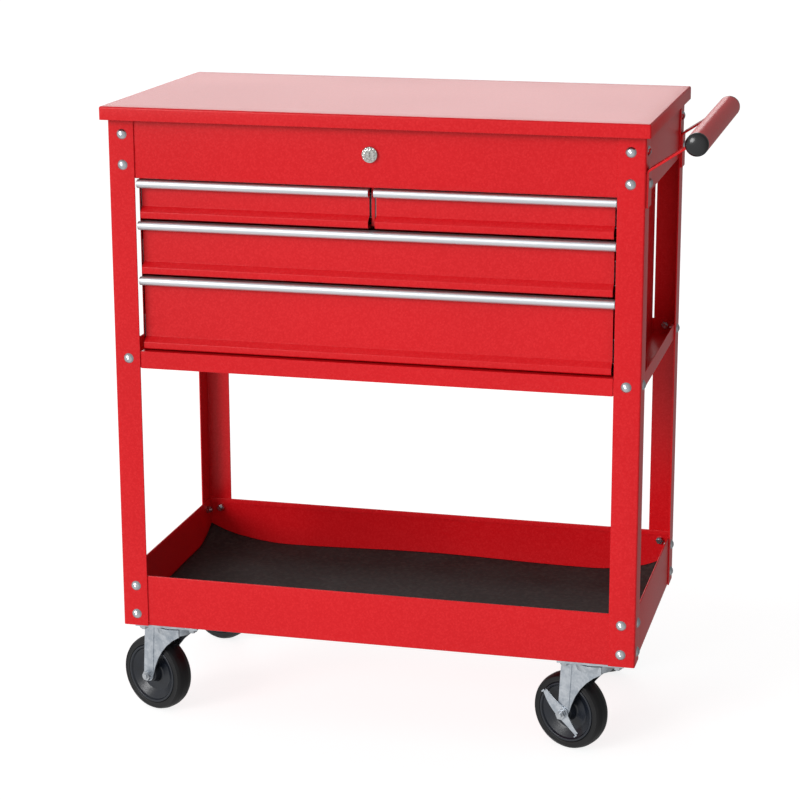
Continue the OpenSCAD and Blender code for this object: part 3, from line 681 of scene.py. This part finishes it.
@dataclass
class HingeAndLock(SubAssembly):
    """The piano hinge, the lock and the lid's catch."""

    dimples: int = 12
    dimple_depth: float = 1.1 * MM
    face: float = 11.0 * MM
    shank: float = 9.0 * MM
    bore: float = 6.05 * MM
    nut: float = 13.0 * MM
    dimple_ring: float = 8.6
    dimple_spread: float = 1.3
    cap_rings: int = 14
    turn_steps: int = 144

    def housing(self) -> None:
        """Turns the lock's cast housing and sinks a ring of dimples in its face.

        A face point at radius r and angle a moves in by depth*exp(-((r-ring)/spread)^2)*(0.5+0.5*cos(n*a))^2,
        with r, ring and spread in millimetres and n the number of dimples.
        """
        low, high, middle = middle_of("lock_housing")
        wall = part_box("upper_compartment")[0].y
        out, inside = wall - low.y, wall - high.y
        rim = np.linspace(0.0, 1.0, self.cap_rings)
        cap = (self.face - (self.face - self.bore - 0.3 * MM) * rim) + 1j * (out - 2.0 * MM * (1 - rim) ** 2.2)
        loop = np.concatenate([
            cap, np.array([self.bore + 1j * (out - 0.3 * MM), self.bore + 1j * inside, self.shank + 1j * inside,
                           self.shank - 4.2j * MM, self.nut - 4.2j * MM, self.nut - 1.2j * MM,
                           self.shank - 1.2j * MM, self.shank + 0j, self.face + 0j])])
        grid = turned(loop, (middle.x, wall, middle.z), (0, -1, 0), self.turn_steps)
        angle = np.linspace(0, 2 * math.pi, self.turn_steps, endpoint=False)[:, None]
        radius = loop.real[None, :self.cap_rings] / MM
        bell = np.exp(-((radius - self.dimple_ring) / self.dimple_spread) ** 2)
        sink = bell * (0.5 + 0.5 * np.cos(self.dimples * angle)) ** 2
        grid[:, :self.cap_rings, 1] += self.dimple_depth * sink
        piece("lock_housing_cast", [(grid, Ends.JOINED)], self.shop.chrome, "chest", 0.0, ["lock_housing"])

    def build(self) -> None:
        """Dresses the CAD nodes of the hinge and the lock."""
        for node in ("hinge_leaf_fixed", "hinge_leaf_lid", "hinge_pin"):
            self.shop.dress(node, self.shop.steel, 0.25 * MM)
        self.housing()
        self.shop.dress("lock_plug", self.shop.chrome, 0.35 * MM)
        for node in ("lock_cam", "lid_catch"):
            self.shop.dress(node, self.shop.zinc, 0.3 * MM)


# ---------------------------------------------------------------- drawers


@dataclass
class Drawer(SubAssembly):
    """One drawer: a stepped folded front, a box with hemmed sides, and an aluminium pull."""

    name: str
    sheet: float = 1.2 * MM
    lip_out: float = 9.0 * MM
    lip_height: float = 9.5 * MM
    slope: float = 7.5 * MM
    under: float = 24 * MM
    bend: float = 1.5 * MM
    side_in: float = 10.4 * MM
    hem: float = 7.0 * MM
    box_clear: float = 6.0 * MM
    pull_wall: float = 2.0 * MM
    nose_reach: float = 11.5 * MM

    def front(self) -> None:
        """Folds the front: face, slope, lip and the return under it, run along X."""
        low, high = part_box(f"drawer_{self.name}_box")
        t = self.sheet / 2
        face = low.y + self.lip_out
        line = rounded_path(
            [(face + 5 * MM, high.z - t), (face + t, high.z - t),
             (face + t, low.z + self.lip_height + self.slope), (low.y + t, low.z + self.lip_height),
             (low.y + t, low.z + t), (face + self.under, low.z + t)],
            [self.bend] * 4)
        section = sheet_section(line, self.sheet)
        piece(f"drawer_{self.name}_front", [(run_of(section, Plane.YZ_ALONG_X, low.x, high.x), Ends.STRIP)],
              self.shop.red, f"drawer_{self.name}", 0.3 * MM, [f"drawer_{self.name}_box"])

    def tray(self) -> None:
        """Folds the box: a channel with hemmed sides run along Y, and a back wall run along X."""
        low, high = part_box(f"drawer_{self.name}_box")
        t = self.sheet / 2
        left, right = low.x + self.side_in, high.x - self.side_in
        floor, top = low.z + self.box_clear, high.z - self.box_clear
        face = low.y + self.lip_out + self.sheet
        turn = 3.2 * t
        line = rounded_path(
            [(left + turn, top - self.hem), (left + turn, top - t), (left + t, top - t), (left + t, floor + t),
             (right - t, floor + t), (right - t, top - t), (right - turn, top - t),
             (right - turn, top - self.hem)],
            [t, t, self.bend, self.bend, t, t])
        body = run_of(sheet_section(line, self.sheet), Plane.XZ_ALONG_Y, face, high.y)
        back_line = rounded_path(
            [(high.y - 3 * t, floor + 4 * t), (high.y - 3 * t, top - t), (high.y - 12 * MM, top - t)], [self.bend])
        back = run_of(sheet_section(back_line, self.sheet), Plane.YZ_ALONG_X, left + 3 * t, right - 3 * t)
        piece(f"drawer_{self.name}_tray", [(body, Ends.STRIP), (back, Ends.STRIP)], self.shop.red,
              f"drawer_{self.name}", 0.25 * MM, ())

    def pull(self) -> None:
        """Extrudes the pull: a rounded hollow nose with a flange that hooks over the front."""
        node = f"drawer_{self.name}_pull"
        low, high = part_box(node)
        h = self.pull_wall / 2
        line = rounded_path(
            [(high.y - h, high.z - 6 * MM), (high.y - h, high.z - h), (low.y + h, high.z - h),
             (low.y + h, low.z + h), (low.y + 8 * MM, low.z + h)],
            [1.2 * MM, 5.1 * MM, 5.1 * MM], 10)
        nose = run_of(sheet_section(line, self.pull_wall), Plane.YZ_ALONG_X, low.x, high.x)
        box_low, box_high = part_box(f"drawer_{self.name}_box")
        behind = nose[0, :, 1] > low.y + self.nose_reach
        nose[0, behind, 0] = max(low.x, box_low.x)
        nose[1, behind, 0] = min(high.x, box_high.x)
        piece(f"{node}_extruded", [(nose, Ends.STRIP)], self.shop.aluminium, f"drawer_{self.name}", 0.4 * MM,
              [node])

    def build(self) -> None:
        """Builds the drawer's own pieces and dresses its slides."""
        self.front()
        self.tray()
        self.pull()
        for part in ("slide_inner", "slide_middle"):
            self.shop.dress(f"drawer_{self.name}_{part}", self.shop.zinc, 0.3 * MM)


# ---------------------------------------------------------------- handle


@dataclass
class PushHandle(SubAssembly):
    """A steel tube on two bent straps, with domed plastic ends."""

    wall: float = 1.5 * MM
    strap_thickness: float = 3.0 * MM
    strap_bend: float = 7.0 * MM
    strap_width: float = 30.0 * MM
    bend_below_leg_top: float = 64.3 * MM
    lift: float = 4.0 * MM
    rim: float = 4.0 * MM
    plug: float = 16.0 * MM

    def tube(self) -> tuple[Vector, float]:
        """Turns the tube about its axis.

        Returns:
            The middle of the tube and its radius.
        """
        low, high, middle = middle_of("handle_tube")
        radius, half = (high.z - low.z) / 2, (high.y - low.y) / 2
        inner = radius - self.wall
        profile = np.array([radius + 1j * half, radius - 1j * half, inner - 1j * half, inner + 1j * half])
        piece("handle_tube_drawn", [(turned(profile, middle, (0, 1, 0)), Ends.JOINED)], self.shop.red, "chest",
              0.3 * MM, ["handle_tube"])
        return middle, radius

    def caps(self, middle: Vector, radius: float) -> None:
        """Turns both end caps: a straight rim, a dome r = R*sin a, h = rim + H*cos a, and a plug inside.

        Args:
            middle: the middle of the tube.
            radius: the tube's radius.
        """
        low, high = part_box("handle_end_caps")
        tube_low, tube_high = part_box("handle_tube")
        half = (tube_high.y - tube_low.y) / 2
        out = (high.y - low.y) / 2 - half
        a = np.linspace(0, math.pi / 2, 14)
        dome = radius * np.sin(a) + 1j * (self.rim + (out - self.rim) * np.cos(a))
        inner = radius - self.wall - 0.05 * MM
        tail = np.array([radius + 0j, inner + 0j, inner - 1j * self.plug, 0 - 1j * self.plug])
        parts = [(turned(np.concatenate([dome, tail]), middle + Vector((0, s * half, 0)), (0, s, 0)), Ends.JOINED)
                 for s in (-1, 1)]
        piece("handle_caps_moulded", parts, self.shop.cap, "chest", 0.4 * MM, ["handle_end_caps"])

    def straps(self, middle: Vector, radius: float) -> None:
        """Bends both straps: up the leg's side, then out to the tube.

        Args:
            middle: the middle of the tube.
            radius: the tube's radius.
        """
        low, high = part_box("handle_brackets")
        t = self.strap_thickness / 2
        width = self.strap_width
        bend_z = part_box("leg_front_right")[1].z - self.bend_below_leg_top
        target = complex(middle.x, middle.z + self.lift)
        corner = complex(low.x + t, bend_z)
        end = target - (target - corner) / abs(target - corner) * (radius + 1.2 * MM)
        line = rounded_path([(low.x + t, low.z), (corner.real, corner.imag), (end.real, end.imag)],
                            [self.strap_bend])
        section = sheet_section(line, self.strap_thickness)
        parts = [(run_of(section, Plane.XZ_ALONG_Y, low.y, low.y + width), Ends.STRIP),
                 (run_of(section, Plane.XZ_ALONG_Y, high.y - width, high.y), Ends.STRIP)]
        piece("handle_straps_bent", parts, self.shop.red, "chest", 0.5 * MM, ["handle_brackets"])

    def build(self) -> None:
        """Builds the tube, its caps and its straps."""
        middle, radius = self.tube()
        self.caps(middle, radius)
        self.straps(middle, radius)


# ---------------------------------------------------------------- casters


@dataclass
class Caster(SubAssembly):
    """One swivel caster: pressed fork, axle bolt, moulded hub and rubber tyre."""

    corner: str
    braked: bool
    tread: float = 57.4 * MM
    width: float = 31.0 * MM
    seat: float = 45.0 * MM
    boss: float = 11.0 * MM
    axle: float = 4.05 * MM

    def spin(self) -> tuple[Vector, Vector]:
        """The wheel's centre and axis, from its joint."""
        joint = next(j for j in frame["joints"] if j["name"] == f"wheel_spin_{self.corner}")
        return Vector(joint["pos_m"]), Vector(joint["axis"])

    def tyre(self) -> None:
        """Turns the tyre: a crowned tread, round shoulders, and a raised ring on each side wall."""
        centre, axis = self.spin()
        w, r = self.width / 2, self.tread
        side = [(self.seat, w - 1.5 * MM), (self.seat + 1.2 * MM, w - 0.4 * MM),
                (self.seat + 3 * MM, w - 0.9 * MM), (r - 5.5 * MM, w - 0.9 * MM),
                (r - 4.2 * MM, w - 0.2 * MM), (r - 1.6 * MM, w - 4.5 * MM)]
        upper = rounded_path([*side, (r - 0.1 * MM, 5 * MM), (r, 0.0)],
                             [0.5 * MM, 0.5 * MM, 0.5 * MM, 0.6 * MM, 3.0 * MM, 4.0 * MM], 5)
        loop = np.concatenate([upper, np.conj(upper)[::-1][1:]])
        piece(f"tyre_{self.corner}", [(turned(loop, centre, axis, 128), Ends.JOINED)], self.shop.tyre,
              f"wheel_{self.corner}", 0.0, [f"caster_{self.corner}_tyre"])

    def hub(self) -> None:
        """Turns the hub: a boss, one smooth dish out to a raised rim, and a lip under the tyre."""
        centre, axis = self.spin()
        w = self.width / 2
        upper = rounded_path(
            [(self.axle, w + 1.9 * MM), (self.boss, w + 1.9 * MM), (self.boss + 3 * MM, 5 * MM),
             (self.seat - 17 * MM, 4.5 * MM), (self.seat - 5 * MM, w - 3.2 * MM),
             (self.seat - 3.4 * MM, w - 0.4 * MM),
             (self.seat - 0.8 * MM, w - 0.4 * MM), (self.seat, w - 2 * MM)],
            [1.0 * MM, 3.0 * MM, 5.0 * MM, 1.2 * MM, 0.9 * MM, 0.9 * MM], 6)
        loop = np.concatenate([upper, np.conj(upper)[::-1]])
        piece(f"hub_{self.corner}", [(turned(loop, centre, axis, 96), Ends.JOINED)], self.shop.hub,
              f"wheel_{self.corner}", 0.0, [f"caster_{self.corner}_hub"])

    def build(self) -> None:
        """Builds the wheel and dresses the fork, the axle and the brake lever."""
        self.tyre()
        self.hub()
        self.shop.dress(f"caster_{self.corner}_fork", self.shop.zinc, 0.5 * MM)
        self.shop.dress(f"caster_{self.corner}_axle", self.shop.steel, 0.4 * MM)
        if self.braked:
            self.shop.dress(f"brake_lever_{self.corner}", self.shop.zinc, 0.4 * MM)


# ---------------------------------------------------------------- studio


@dataclass
class Studio:
    """A pale floor, soft lights and the camera."""

    eye: tuple[float, float, float] = (0.7768, -3.2025, 1.3486)
    azimuth: float = 13.533
    tilt: float = 13.924
    lens: float = 102.95
    shift: tuple[float, float] = (-0.0341, -0.05)

    def camera(self) -> None:
        """Sets the camera: turned about Z by its azimuth, tilted down, with its frame shifted down."""
        data = bpy.data.cameras.new("camera")
        data.lens = self.lens
        data.sensor_width = 36.0
        data.shift_x, data.shift_y = self.shift
        obj = bpy.data.objects.new("camera", data)
        turn = Matrix.Rotation(math.radians(self.azimuth), 4, "Z")
        tip = Matrix.Rotation(math.radians(90 - self.tilt), 4, "X")
        obj.matrix_world = Matrix.Translation(self.eye) @ turn @ tip
        bpy.context.scene.collection.objects.link(obj)
        bpy.context.scene.camera = obj

    def sky(self, name: str, towards: tuple[float, float, float], strength: float, spread: float) -> None:
        """Hangs a far, wide and soft light.

        Args:
            name: the light's name.
            towards: the direction in which it hangs.
            strength: its irradiance.
            spread: how wide it looks, in degrees.
        """
        data = bpy.data.lights.new(name, "SUN")
        data.energy = strength
        data.angle = math.radians(spread)
        obj = bpy.data.objects.new(name, data)
        obj.rotation_mode = "QUATERNION"
        obj.rotation_quaternion = (-Vector(towards)).to_track_quat("-Z", "Y")
        bpy.context.scene.collection.objects.link(obj)

    def panel(self, name: str, at: tuple[float, float, float], aim: tuple[float, float, float],
              size: tuple[float, float], power: float) -> None:
        """Hangs one soft panel light.

        Args:
            name: the light's name.
            at: where it hangs, in metres.
            aim: the point that it faces.
            size: its width and height.
            power: its power in watts.
        """
        data = bpy.data.lights.new(name, "AREA")
        data.shape = "RECTANGLE"
        data.size, data.size_y = size
        data.energy = power
        obj = bpy.data.objects.new(name, data)
        obj.location = at
        obj.rotation_mode = "QUATERNION"
        obj.rotation_quaternion = (Vector(aim) - Vector(at)).to_track_quat("-Z", "Y")
        bpy.context.scene.collection.objects.link(obj)

    def floor(self) -> None:
        """Lays a wide pale floor under the wheels. It takes shadows and throws no light back at the chest."""
        edge = 40.0
        mesh = bpy.data.meshes.new("floor")
        corners = [(-edge, -edge, 0), (edge, -edge, 0), (edge, edge, 0), (-edge, edge, 0)]
        mesh.from_pydata(corners, [], [(0, 1, 2, 3)])
        obj = bpy.data.objects.new("floor", mesh)
        bpy.context.scene.collection.objects.link(obj)
        mat = bpy.data.materials.new("studio_floor_paint")
        mat.use_nodes = True
        shader = mat.node_tree.nodes["Principled BSDF"]
        shader.inputs["Base Color"].default_value = linear("#9a9a9a")
        shader.inputs["Roughness"].default_value = 0.9
        shader.inputs["Emission Color"].default_value = linear("#ffffff")
        shader.inputs["Emission Strength"].default_value = 0.82
        mesh.materials.append(mat)
        obj.visible_diffuse = False
        obj.visible_glossy = False

    def build(self) -> None:
        """Sets the camera, the floor, the lights and the pale surroundings."""
        self.camera()
        self.floor()
        world = bpy.data.worlds.new("studio")
        world.use_nodes = True
        tree = world.node_tree
        towards = add(tree, "ShaderNodeVectorMath",
                      {0: add(tree, "ShaderNodeTexCoord").outputs["Generated"], 1: (-0.5, -0.82, -0.27)},
                      operation="DOT_PRODUCT")
        glow = add(tree, "ShaderNodeMapRange",
                   {"Value": towards.outputs["Value"], "From Min": -0.9, "From Max": 0.9, "To Min": 0.26,
                    "To Max": 0.84}, interpolation_type="SMOOTHSTEP")
        back = tree.nodes["Background"]
        back.inputs[0].default_value = linear("#ffffff")
        tree.links.new(glow.outputs[0], back.inputs[1])
        bpy.context.scene.world = world
        bpy.context.scene.view_settings.view_transform = "Standard"
        self.sky("key_sky", (-0.56, -0.83, 0.36), 1.62, 26)
        self.panel("back_panel", (-1.0, 3.2, 2.0), (-0.6, 0, 0.9), (2.2, 1.7), 22)


# ---------------------------------------------------------------- main


def main() -> None:
    """Builds the studio and every sub-assembly."""
    Studio().build()
    shop = Workshop()
    Frame(shop).build()
    Pan(shop, "lid_panel", body="lid", bend=2.2 * MM, corner=2.8 * MM, turned_over=True).build()
    Pan(shop, "upper_compartment", rim=9 * MM).build()
    Pan(shop, "middle_tray").build()
    Pan(shop, "bottom_tray", hem=8 * MM).build()
    Liner(shop).build()
    HingeAndLock(shop).build()
    for name in ("small_left", "small_right", "middle", "bottom"):
        Drawer(shop, name).build()
    PushHandle(shop).build()
    shop.dress("caster_plates", shop.zinc, 0.4 * MM)
    for corner in ("front_left", "front_right", "rear_left", "rear_right"):
        Caster(shop, corner, braked=corner.endswith("right")).build()


if __name__ == "__main__":
    logging.basicConfig(level=logging.INFO, format="%(message)s")
    main()
